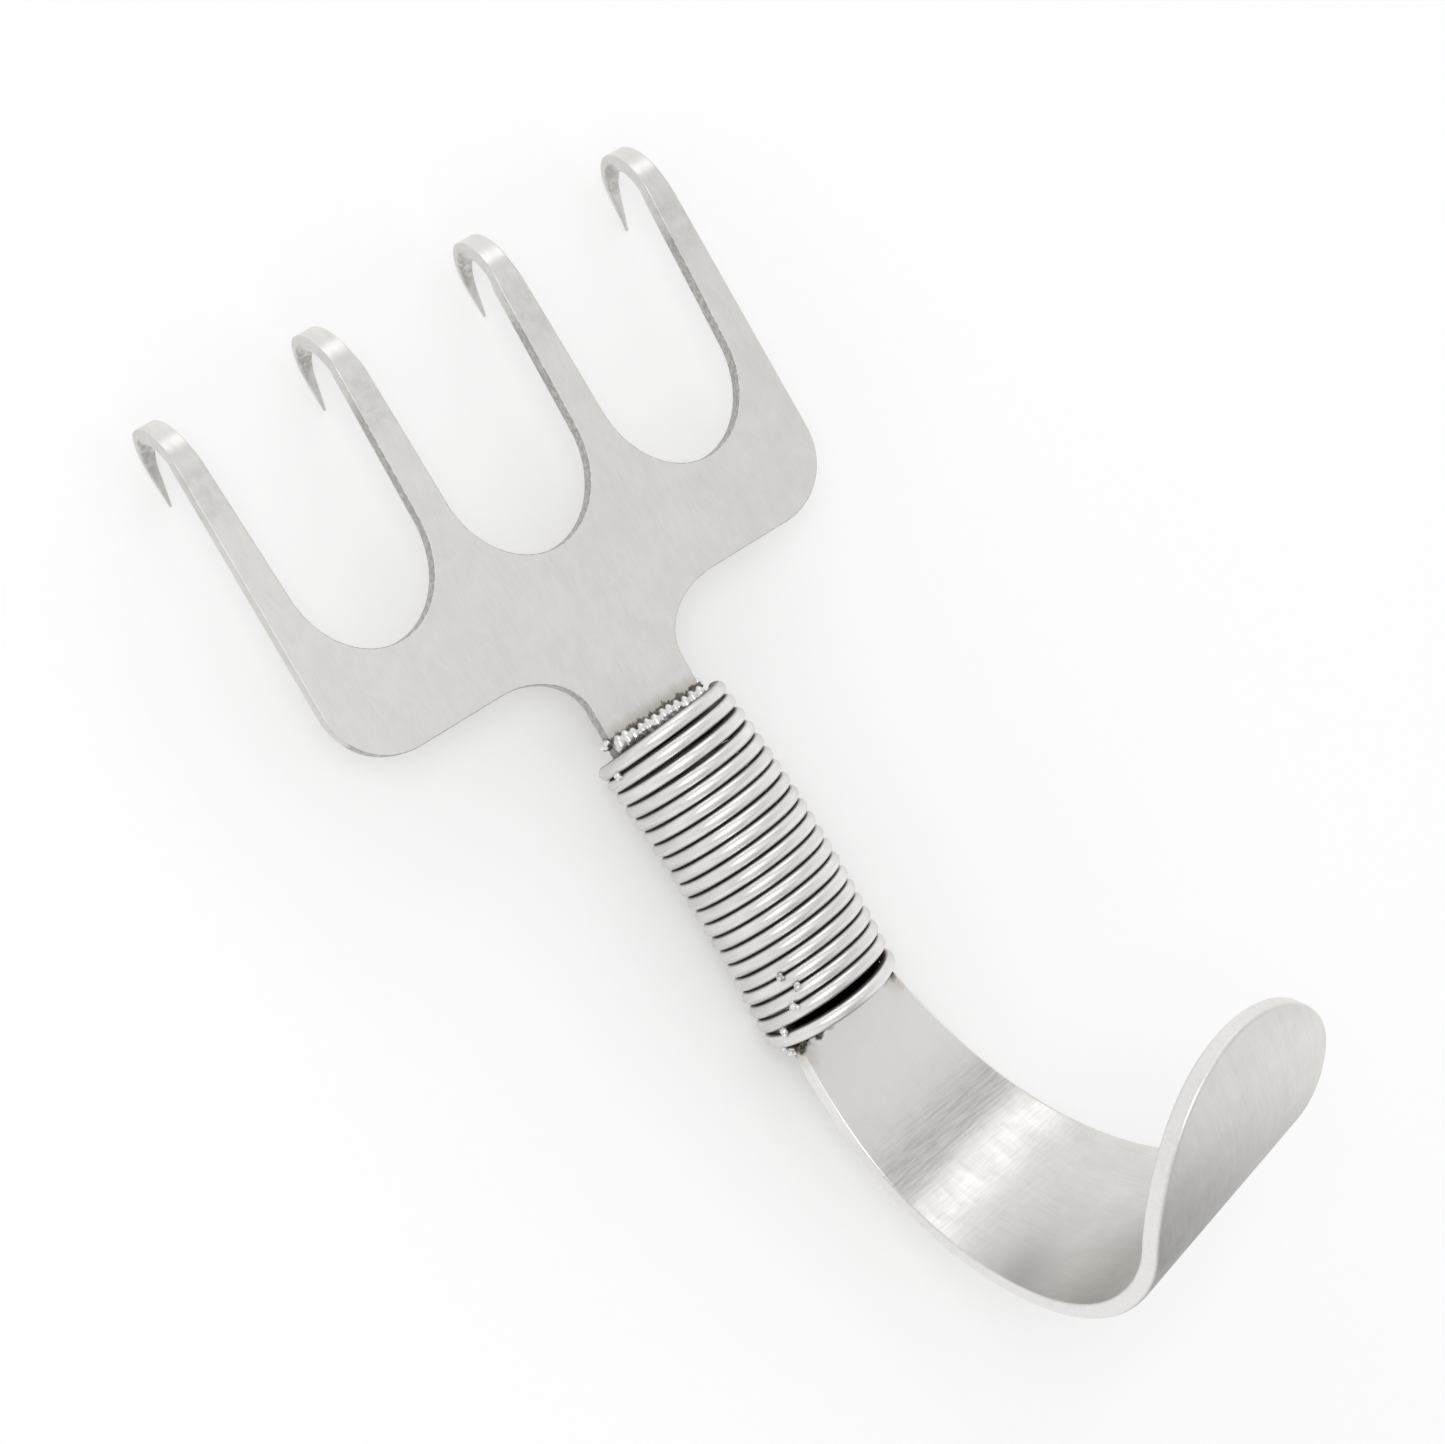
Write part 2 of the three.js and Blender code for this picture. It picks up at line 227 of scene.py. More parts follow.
class Paint:
    """A material's node tree, with short ways to make the nodes it needs."""

    def __init__(self, name):
        self.material = bpy.data.materials.new(name)
        self.material.use_nodes = True
        self.tree = self.material.node_tree
        self.shader = self.tree.nodes["Principled BSDF"]

    def node(self, kind, inputs=(), **settings):
        made = self.tree.nodes.new(kind)
        for key, value in settings.items():
            setattr(made, key, value)
        for key, value in dict(inputs).items():
            self.plug(made, key, value)
        return made

    def plug(self, node, key, value):
        socket = node.inputs[key]
        if isinstance(value, bpy.types.NodeSocket):
            self.tree.links.new(value, socket)
        else:
            socket.default_value = value

    def attribute(self, name, output):
        return self.node("ShaderNodeAttribute", attribute_name=name).outputs[output]

    def scaled(self, vector, scale, turn=0.0):
        inputs = {"Vector": vector, "Scale": scale, "Rotation": (0, 0, math.radians(turn))}
        return self.node("ShaderNodeMapping", inputs).outputs["Vector"]

    def noise(self, vector, scale, detail=3.0, rough=0.55, distortion=0.0):
        inputs = {"Vector": vector, "Scale": scale, "Detail": detail, "Roughness": rough}
        inputs["Distortion"] = distortion
        return self.node("ShaderNodeTexNoise", inputs).outputs["Fac"]

    def math(self, operation, a, b=0.0, clamp=False):
        made = self.node("ShaderNodeMath", {0: a, 1: b}, operation=operation, use_clamp=clamp)
        return made.outputs[0]

    def span(self, value, low, high, to_low=0.0, to_high=1.0, smooth=True):
        kind = "SMOOTHSTEP" if smooth else "LINEAR"
        inputs = {"Value": value, "From Min": low, "From Max": high, "To Min": to_low, "To Max": to_high}
        return self.node("ShaderNodeMapRange", inputs, interpolation_type=kind).outputs["Result"]

    def band(self, value, start, full, fading, end):
        """1 from full to fading, easing down to 0 at start and at end."""
        return self.math("MULTIPLY", self.span(value, start, full), self.span(value, end, fading))

    def mix(self, share, a, b):
        made = self.node("ShaderNodeMix", data_type="RGBA")
        self.plug(made, 0, share)
        self.plug(made, 6, a)
        self.plug(made, 7, b)
        return made.outputs[2]

    def bump(self, height, strength, distance, normal=None):
        inputs = {"Height": height, "Strength": strength, "Distance": distance * MM}
        if normal is not None:
            inputs["Normal"] = normal
        return self.node("ShaderNodeBump", inputs).outputs["Normal"]

    def finish(self, color, rough, normal):
        self.plug(self.shader, "Base Color", color)
        self.plug(self.shader, "Roughness", rough)
        self.plug(self.shader, "Normal", normal)
        self.shader.inputs["Metallic"].default_value = 1.0
        return self.material


# Steel tones. The shaded tone is painted shade and the bright one also painted light; the scorched and soot
# tones are burns and weld oxide and also the painted shade on the finger hook's tongue; the groove tone is
# the wire's painted shade.
STEEL = (0.77, 0.755, 0.735, 1)
STEEL_DULL = (0.715, 0.70, 0.68, 1)
STEEL_BRIGHT = (0.90, 0.89, 0.875, 1)
STEEL_SHADED = (0.10, 0.095, 0.088, 1)
SCORCHED_AND_SHADE = (0.035, 0.028, 0.024, 1)
SOOT_AND_SHADE = (0.21, 0.19, 0.16, 1)
GROOVE_SHADE = (0.05, 0.03, 0.022, 1)
STRAW = (0.42, 0.35, 0.27, 1)
SHEARED_FACE = (0.38, 0.37, 0.36, 1)
GROUND_FACE = (0.82, 0.81, 0.795, 1)


def sheet_paint(name, grain_turn, grain, cut_face, pitting, marks):
    """Satin sheet steel: fine rolled grain, a mottle, cut edges, painted light and painted shade, and heat
    marks near a weld; its burn tones also paint shade on the finger hook's tongue.
    """
    paint = Paint(name)
    at = paint.attribute("at", "Vector")
    cut = paint.attribute("cut", "Fac")
    fine = paint.noise(paint.scaled(at, grain, grain_turn), 1.0, 4.0, 0.6)
    coarse = paint.noise(paint.scaled(at, tuple(g * 0.3 for g in grain), grain_turn + 4), 1.0, 3.0, 0.6)
    mottle = paint.noise(at, 0.35, 4.0, 0.6, 0.6)
    speckle = paint.noise(at, 2.6, 3.0, 0.65)
    grainy = paint.math("ADD", paint.math("MULTIPLY", fine, 0.6), paint.math("MULTIPLY", coarse, 0.4))
    tone = paint.span(grainy, 0.3, 0.7)
    color = paint.mix(tone, STEEL_DULL, STEEL)
    color = paint.mix(paint.span(mottle, 0.35, 0.75, 0.0, 0.25), color, STEEL_BRIGHT)
    edge_of_cut = paint.span(paint.math("ADD", cut, paint.math("MULTIPLY", speckle, 0.5)), 0.55, 0.9)
    sheared = paint.math("MULTIPLY", edge_of_cut, paint.span(speckle, 0.36, 0.6, 0.5, 1.0))
    cut_share, painted_light, shaded, heat, burn_and_shade = marks(paint, at)
    color = paint.mix(paint.math("MULTIPLY", sheared, cut_share), color, cut_face)
    # Painted light, then painted shade, from the marks.
    color = paint.mix(painted_light, color, STEEL_BRIGHT)
    color = paint.mix(shaded, color, STEEL_SHADED)
    rough = paint.span(grainy, 0.3, 0.7, 0.38, 0.33)
    rough = paint.math("ADD", rough, paint.span(mottle, 0.3, 0.7, 0.02, -0.02))
    rough = paint.math("ADD", rough, paint.math("MULTIPLY", cut, 0.1))
    color = paint.mix(heat, color, STRAW)
    # Burn near the welds, and on the finger hook's tongue painted shade.
    color = paint.mix(burn_and_shade, color, paint.mix(paint.span(speckle, 0.4, 0.65), SCORCHED_AND_SHADE, SOOT_AND_SHADE))
    rough = paint.math("ADD", rough, paint.math("MULTIPLY", burn_and_shade, 0.25), clamp=True)
    normal = paint.bump(grainy, 0.14, 0.01)
    normal = paint.bump(mottle, 0.1, 0.06, normal)
    pits = paint.math("ADD", paint.math("MULTIPLY", cut, cut_share), 0.12)
    pitted = paint.math("MULTIPLY", speckle, pits)
    normal = paint.bump(pitted, pitting, 0.08, normal)
    return paint.finish(color, rough, normal)


# Where the rake's marks lie, in blank millimetres along X: painted shade darkening the bends and the hooks'
# inner sides, and the weld.
OUTSIDE_SHARE = 0.25  # how much of the sheared look the ground outsides keep
# Painted shade: the bends and the hooks' lower inner sides darker.
BEND_BAND = (-31.0, -34.0, -36.5, -39.0)
INNER_HOOK_FROM = (-43.0, -45.0)
HOOK_TIP_FADE = (-51.0, -47.5)
NECK_BURN = (-1.2, -0.95)
NECK_BURN_COVERED = (-0.2, -0.6)
NECK_HEAT = (-2.3, -1.2)

# Where the finger hook's marks lie, in millimetres along the strip from the coil: painted light near the
# coil, painted shade and painted reflections along the bends and on the outer face, and painted shade on the
# tongue.
# Painted light: the strip brighter towards the coil.
NEAR_COIL_PAINTED_LIGHT = (12.0, 5.0)
# Painted shade: a streaky dark band across the concave face just before the highlight.
SHADE_BAND = (10.0, 13.5, 14.8, 16.3)
# Brush streaks painted as shade only across the band where the highlight lies.
STREAK_SHADE_BAND = (8.0, 13.0, 19.0, 27.0)
# Painted shade: the concave face darker towards the fold.
FOLD_SHADE = (29.0, 44.0)
# Painted reflection: the outer face darker along a slanted band.
OUTER_SHADE = (77.0, 50.0)
OUTER_SHADE_ENDS = (32.0, 46.0)
OUTER_SLANT = 0.9
BEND_SLANT = 0.11
# Painted shade: the tongue inside the last turn painted dark.
TONGUE_SHADE = (0.3, 0.05)


def rake_marks(paint, at):
    """Sheared gaps between ground outsides and hooks, painted shade on the bends and the hooks' inner sides,
    and a jagged burnt line at the bead.
    """
    parts = paint.node("ShaderNodeSeparateXYZ", {0: at}).outputs
    between = paint.span(paint.math("ABSOLUTE", parts["Y"]), RAKE_HALF_WIDTH - 0.4, RAKE_HALF_WIDTH - 1)
    before_hooks = paint.span(parts["X"], PRONG_END_X, PRONG_END_X + 4)
    cut_share = paint.math("MAXIMUM", paint.math("MULTIPLY", between, before_hooks), OUTSIDE_SHARE)
    # Painted shade, mottled: darker where the prongs bend and on the hooks' lower inner sides.
    hook_shade_mottle = paint.noise(at, 1.1, 3.0, 0.6)
    bend = paint.band(parts["X"], *BEND_BAND)
    shaded = paint.math("MULTIPLY", bend, paint.span(hook_shade_mottle, 0.35, 0.7, 0.04, 0.16))
    lower_side = paint.span(parts["Z"], 0.1, -0.3)
    inner_hook = paint.math("MULTIPLY", paint.span(parts["X"], *INNER_HOOK_FROM), lower_side)
    inner_hook = paint.math("MULTIPLY", inner_hook, paint.span(hook_shade_mottle, 0.35, 0.6, 0.1, 0.45))
    inner_hook = paint.math("MULTIPLY", inner_hook, paint.span(parts["X"], *HOOK_TIP_FADE, 0.35, 1.0))
    shaded = paint.math("MAXIMUM", shaded, inner_hook)
    jag = paint.noise(paint.scaled(at, (0.6, 2.6, 0.6)), 1.0, 4.0, 0.7)
    x = paint.math("ADD", parts["X"], paint.math("MULTIPLY", paint.math("SUBTRACT", jag, 0.5), 1.5))
    covered = paint.span(parts["X"], *NECK_BURN_COVERED, 0.3, 0.85)
    burn_and_shade = paint.math("MULTIPLY", paint.span(x, *NECK_BURN), covered)
    heat = paint.span(x, *NECK_HEAT, 0.0, 0.35)
    return cut_share, 0.0, shaded, heat, burn_and_shade


def hook_marks(paint, at):
    """Ground edges, painted light, painted shade and painted reflections along the strip that follow its
    bends, burnt corners, and painted shade on the tongue.
    """
    parts = paint.node("ShaderNodeSeparateXYZ", {0: at}).outputs
    along = paint.math("ADD", parts["X"], paint.math("MULTIPLY", parts["Y"], BEND_SLANT))
    slanted = paint.math("ADD", parts["X"], paint.math("MULTIPLY", parts["Y"], OUTER_SLANT))
    inside = paint.span(parts["Z"], -1.2, -0.5)
    outside = paint.math("SUBTRACT", 1.0, inside)
    flat = paint.math("SUBTRACT", 1.0, paint.attribute("cut", "Fac"))
    # Painted light: brighter towards the coil.
    painted_light = paint.span(parts["X"], *NEAR_COIL_PAINTED_LIGHT, 0.0, 0.7)
    streaks = paint.noise(paint.scaled(at, (4.0, 0.35, 1.0), -STRIP_SKEW), 1.0, 4.0, 0.6)
    # Painted shade: a streaky dark band before the highlight on the concave face.
    shade_band = paint.band(along, *SHADE_BAND)
    shade_band = paint.math("MULTIPLY", shade_band, paint.span(streaks, 0.3, 0.7, 0.08, 0.23))
    # Brush streaks painted as shade only where the highlight lies.
    streak_shade = paint.band(along, *STREAK_SHADE_BAND)
    streak_shade = paint.math("MULTIPLY", streak_shade, paint.span(streaks, 0.35, 0.7, 0.0, 0.13))
    # Painted shade on the concave face, deepening towards the fold.
    inner = paint.math("MAXIMUM", shade_band, paint.span(parts["X"], *FOLD_SHADE, 0.0, 0.25))
    inner = paint.math("MULTIPLY", paint.math("ADD", inner, streak_shade), inside)
    # Painted reflection: the outer face darker along a slanted band.
    outer = paint.span(slanted, *OUTER_SHADE, 0.0, 0.86)
    outer = paint.math("MULTIPLY", outer, paint.span(slanted, *OUTER_SHADE_ENDS))
    outer = paint.math("MULTIPLY", outer, outside)
    shaded = paint.math("MULTIPLY", paint.math("ADD", inner, outer), flat, clamp=True)
    jag = paint.noise(at, 0.9, 3.0, 0.6)
    x = paint.math("ADD", parts["X"], paint.math("MULTIPLY", paint.math("SUBTRACT", jag, 0.5), 2.4))
    edge = paint.span(paint.math("ABSOLUTE", parts["Y"]), 3.8, 5.6)
    corner = paint.math("MULTIPLY", paint.span(x, 1.2, 0.4), edge)
    near = paint.math("MULTIPLY", paint.span(x, 0.95, 0.4), paint.span(parts["Y"], -1.5, -3.0))
    # Painted shade on the tongue inside the last turn; the corners above are burnt.
    tongue_shade = paint.span(parts["X"], *TONGUE_SHADE, 0.0, 0.7)
    burn_and_shade = paint.math("MAXIMUM", paint.math("MAXIMUM", corner, near), tongue_shade)
    heat = paint.math("MULTIPLY", paint.span(x, 3.0, 0.6, 0.0, 0.5), edge)
    return 1.0, painted_light, shaded, heat, burn_and_shade


def wire_paint():
    """Hard-drawn spring wire: bright, with draw lines along it, and painted shade in the grooves between
    turns, on the coil's inner side and on its two flanks.
    """
    paint = Paint("spring_wire")
    at = paint.attribute("at", "Vector")
    cut = paint.attribute("cut", "Fac")
    lines = paint.noise(paint.scaled(at, (0.35, 5.0, 1.0)), 1.0, 3.0, 0.6)
    patch = paint.noise(paint.scaled(at, (0.16, 0.5, 1.0)), 1.0, 3.0, 0.6)
    color = paint.mix(paint.span(patch, 0.3, 0.7), STEEL, STEEL_BRIGHT)
    # Painted shade, mottled, in the grooves, inside the coil and on its flanks.
    wire_shade = paint.math("MULTIPLY", cut, paint.span(patch, 0.3, 0.65, 1.0, 0.8))
    color = paint.mix(wire_shade, color, GROOVE_SHADE)
    rough = paint.span(lines, 0.3, 0.7, 0.27, 0.36)
    rough = paint.math("ADD", rough, paint.math("MULTIPLY", wire_shade, 0.3))
    normal = paint.bump(lines, 0.2, 0.01)
    normal = paint.bump(patch, 0.15, 0.05, normal)
    return paint.finish(color, rough, normal)


def weld_paint():
    """Weld metal: shiny lumps with dark oxide between them."""
    paint = Paint("weld_metal")
    at = paint.attribute("at", "Vector")
    cut = paint.attribute("cut", "Fac")
    swirl = paint.noise(at, 1.3, 3.0, 0.6, 0.4)
    fine = paint.noise(at, 5.0, 3.0, 0.6)
    color = paint.mix(paint.span(swirl, 0.35, 0.7), STEEL, STEEL_BRIGHT)
    oxide = paint.math("MULTIPLY", cut, paint.span(fine, 0.3, 0.55, 0.3, 0.65))
    color = paint.mix(oxide, color, SCORCHED_AND_SHADE)
    rough = paint.span(swirl, 0.3, 0.7, 0.38, 0.26)
    rough = paint.math("ADD", rough, paint.math("MULTIPLY", oxide, 0.3))
    normal = paint.bump(fine, 0.15, 0.04)
    normal = paint.bump(swirl, 0.2, 0.12, normal)
    return paint.finish(color, rough, normal)


RAKE_GRAIN = (0.8, 5.0, 5.0)
HOOK_GRAIN = (0.3, 4.5, 4.0)
rake_steel = sheet_paint("rake_sheet", 38.0, RAKE_GRAIN, SHEARED_FACE, 0.5, rake_marks)
hook_steel = sheet_paint("finger_hook_sheet", 90.0 - STRIP_SKEW, HOOK_GRAIN, GROUND_FACE, 0.12, hook_marks)
wire_steel = wire_paint()
weld_steel = weld_paint()


# Rake -----------------------------------------------------------------------------------------------------

ROUND_STEPS = 3


def column_profile(thickness, edge):
    """(inset, height, share of outward normal, share of upward normal) down a rounded sheet edge."""
    rows = []
    for side in (1, -1):
        for step in range(ROUND_STEPS + 1):
            up = step if side == -1 else ROUND_STEPS - step
            turn = math.pi / 2 * up / ROUND_STEPS
            rows.append(
                (
                    edge * (1 - math.cos(turn)),
                    side * (thickness / 2 - edge + edge * math.sin(turn)),
                    math.cos(turn),
                    side * math.sin(turn),
                )
            )
    return rows


def arc(centre, radii, start, end, steps):
    """Points on part of an ellipse, angles in degrees."""
    angles = np.radians(np.linspace(start, end, steps + 1))
    return [(centre[0] + radii[0] * math.cos(a), centre[1] + radii[1] * math.sin(a)) for a in angles]


def prong_gap(centre, half):
    """Down one prong's side, round the gap's bottom and back up the next prong."""
    low = PRONG_TAPER if centre < -1 else PRONG_TAPER / 2
    high = PRONG_TAPER if centre > 1 else PRONG_TAPER / 2
    ends = ((PRONG_END_X, centre - half - low), (PRONG_END_X, centre + half + high))
    return [ends[0], *arc((GAP_ROOT_X, centre), (GAP_DEPTH, half), -90, 90, 40), ends[1]]


def rake_outline():
    """Point rows round the blank from the neck's -Y side, broken at each prong's end."""
    fx, fy = NECK_FILLET
    fillet = (SHOULDER_X + fx, NECK_HALF_WIDTH + fy)
    corner = (SHOULDER_X - SHOULDER_RADIUS, RAKE_HALF_WIDTH - SHOULDER_RADIUS)
    r = SHOULDER_RADIUS
    first = [(NECK_TONGUE, -NECK_HALF_WIDTH)]
    first += arc((fillet[0], -fillet[1]), (fx, fy), 90, 180, 16)
    first += arc((corner[0], -corner[1]), (r, r), 0, -90, 20)
    first += [(PRONG_END_X, -RAKE_HALF_WIDTH)]
    last = [(x, -y) for x, y in reversed(first)]
    middle = [prong_gap(-GAP_SPACING, OUTER_GAP_HALF), prong_gap(0.0, MIDDLE_GAP_HALF)]
    return [first, *middle, prong_gap(GAP_SPACING, OUTER_GAP_HALF), last]


def outward_normals(row):
    """Normals of an open row that runs clockwise round the metal."""
    row = np.array(row, float)
    legs = np.diff(row, axis=0)
    legs /= np.maximum(np.linalg.norm(legs, axis=1, keepdims=True), 1e-9)
    sides = np.stack([-legs[:, 1], legs[:, 0]], axis=1)
    joined = np.vstack([sides[:1], sides[:-1] + sides[1:], sides[-1:]])
    return joined / np.linalg.norm(joined, axis=1, keepdims=True)


def walk(straight, radius, turn, distance):
    """(forward, down, heading) after a distance along a straight, an arc and another straight."""
    bend = radius * math.radians(turn)
    along = min(distance, straight)
    forward, down, heading = along, 0.0, 0.0
    if distance > straight:
        heading = min(distance - straight, bend) / radius
        forward += radius * math.sin(heading)
        down += radius * (1 - math.cos(heading))
    if distance > straight + bend:
        leg = distance - straight - bend
        forward += leg * math.cos(heading)
        down += leg * math.sin(heading)
    return forward, down, heading


def tapered(sizes, at):
    if at < HOOK_WAIST:
        return lerp(sizes[0], sizes[1], at / HOOK_WAIST)
    return lerp(sizes[1], sizes[2], (at - HOOK_WAIST) / (1 - HOOK_WAIST))


def add_hook(shape, columns, low_y, high_y, hook):
    """Sweeps a prong's end on from its two corner columns, -Y side first, to the point."""
    straight, radius, turn, leg, lean = hook
    length = straight + radius * math.radians(turn) + leg
    ring = columns[0] + columns[1][::-1]
    for index in range(1, HOOK_RINGS + 1):
        at = index / HOOK_RINGS
        settle = smoothstep(at, 0.0, 0.12)
        forward, down, heading = walk(straight, radius, turn, at * length)
        width = lerp(high_y - low_y, tapered(HOOK_WIDTH, at), settle)
        thick = lerp(SHEET, tapered(HOOK_THICKNESS, at), settle)
        y = (low_y + high_y) / 2 + lean * min(1.0, at / HOOK_WAIST)
        z = (SHEET - HOOK_THICKNESS[0]) / 2 * settle - down
        edge = min(SHEARED_ROUND, 0.42 * thick, 0.42 * width)
        made = []
        for side in (-1, 1):
            rows = column_profile(thick, edge)
            for inset, height, out, up in rows if side == -1 else rows[::-1]:
                point = (
                    PRONG_END_X - forward - height * math.sin(heading),
                    y + side * (width / 2 - inset),
                    z + height * math.cos(heading),
                )
                normal = (-up * math.sin(heading), side * out, up * math.cos(heading))
                coord = (PRONG_END_X - at * length, point[1], height)
                made.append(shape.add(point, normal, coord, out))
        shape.strip(made, ring, closed=True)
        ring = made
    shape.faces.append(tuple(ring))


def build_rake():
    shape = Shape()
    rows = rake_outline()
    profile = column_profile(SHEET, SHEARED_ROUND)
    upper, lower = [], []
    ends = []
    for row in rows:
        made = []
        for (x, y), (nx, ny) in zip(row, outward_normals(row)):
            column = []
            for inset, height, out, up in profile:
                point = (x - nx * inset, y - ny * inset, height)
                column.append(shape.add(point, (nx * out, ny * out, up), point, out))
            made.append(column)
        for first, second in zip(made, made[1:]):
            shape.strip(second, first)
        upper += [column[0] for column in made]
        lower += [column[-1] for column in made]
        ends.append((made[0], made[-1], row[0][1], row[-1][1]))
    for prong, hook in enumerate(HOOKS):
        before, after = ends[prong], ends[prong + 1]
        add_hook(shape, (before[1], after[0]), before[3], after[2], hook)
    shape.strip(ends[0][0], ends[-1][1])
    shape.faces.append(tuple(upper[::-1]))
    shape.faces.append(tuple(lower))
    shape.points = [tuple(p) for p in rake_points(shape.points)]
    shape.normals = [tuple(n) for n in turned_about_z(shape.normals, RAKE_TURN)]
    return shape.build("rake_plate_steel", rake_steel)


rake = build_rake()
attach(rake, "rake")
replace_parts(rake, "rake_plate")


# Finger hook ----------------------------------------------------------------------------------------------

WALK_STEP = 0.1


def strip_side_view():
    """(along, up, heading) of the bend at even distances, with the curvature eased between its stations."""
    spans = len(STRIP_CURVATURES) - 1
    made = [(0.0, 0.0, 0.0)]
    while len(made) * WALK_STEP < STRIP_LENGTH + 5:
        u, h, heading = made[-1]
        at = min(spans - 1e-6, (len(made) - 0.5) * WALK_STEP / STRIP_LENGTH * spans)
        index = int(at)
        turn = WALK_STEP * lerp(STRIP_CURVATURES[index], STRIP_CURVATURES[index + 1], at - index)
        u += WALK_STEP * math.cos(heading + turn / 2)
        h += WALK_STEP * math.sin(heading + turn / 2)
        made.append((u, h, heading + turn))
    return made


side_view = strip_side_view()
strip_turn = euler(*STRIP_ANGLES)


def strip_frame(distance, sideways):
    """Where a spot on the strip's upper face is, and its three directions: along, sideways and up."""
    k = math.radians(STRIP_SKEW)
    ck, sk = math.cos(k), math.sin(k)
    rolled = distance * ck + sideways * sk
    across = -distance * sk + sideways * ck
    if rolled <= 0:
        u, h, heading = rolled, 0.0, 0.0
    else:
        at = rolled / WALK_STEP
        index = min(int(at), len(side_view) - 2)
        before, after = side_view[index], side_view[index + 1]
        u, h, heading = (lerp(before[i], after[i], at - index) for i in range(3))
    c, s = math.cos(heading), math.sin(heading)
    place = np.array([u * ck - across * sk, u * sk + across * ck, h])
    along = np.array([c * ck * ck + sk * sk, c * ck * sk - sk * ck, s * ck])
    aside = np.array([c * sk * ck - ck * sk, c * sk * sk + ck * ck, s * sk])
    up = np.array([-s * ck, -s * sk, c])
    turned = [strip_turn @ v for v in (place, along, aside, up)]
    return turned[0] + np.array(STRIP_START), turned[1], turned[2], turned[3]


def strip_half_width(distance):
    a, b, c, d = STRIP_HALF_WIDTHS
    at = distance / STRIP_LENGTH
    left = 1 - at
    plain = a * left**3 + 3 * b * at * left**2 + 3 * c * at**2 * left + d * at**3
    end = max(0.0, (distance - STRIP_LENGTH + STRIP_END_ROUND) / STRIP_END_ROUND)
    return plain * math.sqrt(max(0.0, 1 - end * end))


def strip_drift(distance):
    share = distance / STRIP_LENGTH
    return STRIP_DRIFT[0] * share + STRIP_DRIFT[1] * share * share


def strip_distances():
    even = STRIP_LENGTH - STRIP_END_ROUND
    straight = list(np.linspace(0, even, 104))
    closing = [even + STRIP_END_ROUND * math.sin(a) for a in np.linspace(0, math.pi / 2, 34)[1:]]
    return straight + closing


def add_tongue(shape):
    """The strip's narrow end inside the last turn, which its material paints dark as the shade inside the
    coil.
    """
    inset = 0.02
    corners = ((1, -inset, 1), (-1, -inset, 1), (-1, inset - SHEET, -1), (1, inset - SHEET, -1))
    rings = []
    for distance, half in STRIP_TONGUE:
        ring = []
        for side, level, sign in corners:
            place, _, _, above = strip_frame(distance, side * half)
            ring.append(shape.add(place + level * above, sign * above, (distance, side * half, level), 1.0))
        rings.append(ring)
    for first, second in zip(rings, rings[1:]):
        shape.strip(first, second, closed=True)
    shape.faces.append(tuple(rings[-1]))


def build_finger_hook():
    shape = Shape()
    distances = strip_distances()
    sides = {}
    for side in (-1, 1):
        row = [(d, strip_drift(d) + side * strip_half_width(d)) for d in distances]
        normals = outward_normals(row) * side
        normals[-1] = (1.0, 0.0)
        sides[side] = (row, normals)
    profile = column_profile(SHEET, GROUND_ROUND)
    upper_rows, lower_rows = [], []
    columns = {-1: [], 1: []}
    for index in range(len(distances)):
        for side in (-1, 1):
            row, normals = sides[side]
            (d, v), (nd, nv) = row[index], normals[index]
            if side == 1 and index == len(distances) - 1:
                columns[1].append(columns[-1][-1])
                continue
            column = []
            for inset, height, out, up in profile:
                spot = (d - nd * inset, v - nv * inset)
                place, along, aside, above = strip_frame(*spot)
                normal = out * (nd * along + nv * aside) + up * above
                level = height - SHEET / 2
                column.append(shape.add(place + level * above, normal, (*spot, level), out * out))
            columns[side].append(column)
        low, high = columns[-1][-1], columns[1][-1]
        for rows, end, level, sign in ((upper_rows, 0, 0.0, 1), (lower_rows, -1, -SHEET, -1)):
            if low is high:
                rows.append([low[end]] * (STRIP_ACROSS + 1))
                continue
            a, b = np.array(shape.coords[low[end]]), np.array(shape.coords[high[end]])
            made = [low[end]]
            for step in range(1, STRIP_ACROSS):
                spot = lerp(a, b, step / STRIP_ACROSS)
                place, _, _, above = strip_frame(spot[0], spot[1])
                made.append(shape.add(place + level * above, sign * above, (spot[0], spot[1], level)))
            rows.append(made + [high[end]])
    for first, second in zip(upper_rows, upper_rows[1:]):
        shape.strip(second, first)
    for first, second in zip(lower_rows, lower_rows[1:]):
        shape.strip(first, second)
    for first, second in zip(columns[-1], columns[-1][1:]):
        shape.strip(first, second)
    for first, second in zip(columns[1], columns[1][1:]):
        shape.strip(second, first)
    shape.faces = [tuple(dict.fromkeys(face)) for face in shape.faces]
    shape.faces = [face for face in shape.faces if len(face) > 2]
    rim = upper_rows[0][::-1] + columns[-1][0][1:-1] + lower_rows[0] + columns[1][0][1:-1][::-1]
    face_along = -strip_frame(0, 0)[1]
    cap = [shape.add(shape.points[i], face_along, shape.coords[i], 1.0) for i in rim[::-1]]
    shape.faces.append(tuple(cap))
    add_tongue(shape)
    return shape.build("finger_hook_steel", hook_steel)


finger_hook = build_finger_hook()
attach(finger_hook, "tail")
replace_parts(finger_hook, "finger_hook")


# Coil -----------------------------------------------------------------------------------------------------


